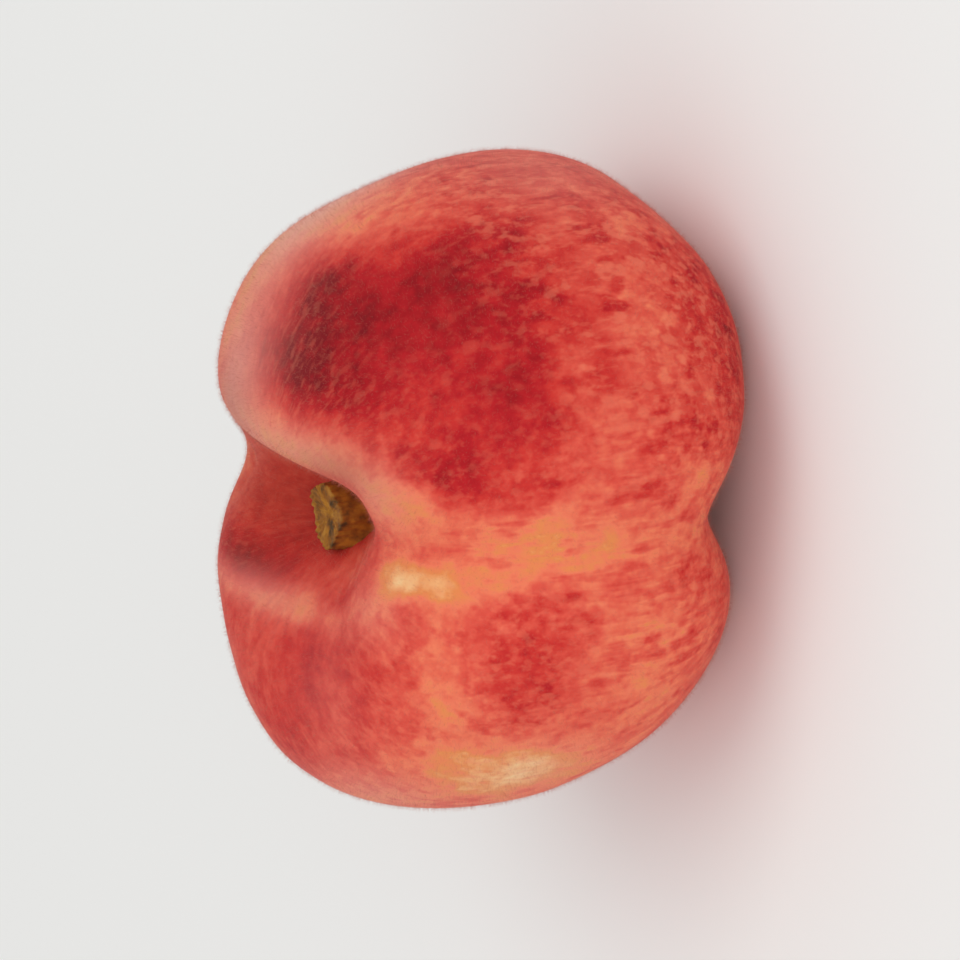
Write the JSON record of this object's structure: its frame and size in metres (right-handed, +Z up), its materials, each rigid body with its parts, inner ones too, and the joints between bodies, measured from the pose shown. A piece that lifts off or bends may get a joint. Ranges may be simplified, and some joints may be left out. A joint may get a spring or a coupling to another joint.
{
  "type": "flat peach",
  "caption": "Flat peach with two unequal lobes, a suture valley, a deep stem cavity and a blossom dimple, lying on its blossom end, with a dry stalk stub.",
  "frame": {"origin": "middle of the bounding box's base, on the surface that the fruit lies on", "axes": "+Z up through the stem end, -Y towards the suture, +X towards the big lobe"},
  "size_m": [0.063, 0.06, 0.0442],
  "materials": {
    "peach_skin": "dull, covered in fine down",
    "dry_stalk": "dry and rough"
  },
  "bodies": {
    "root": {"peach": "peach_skin", "stem_stub": "dry_stalk"}
  },
  "joints": []
}
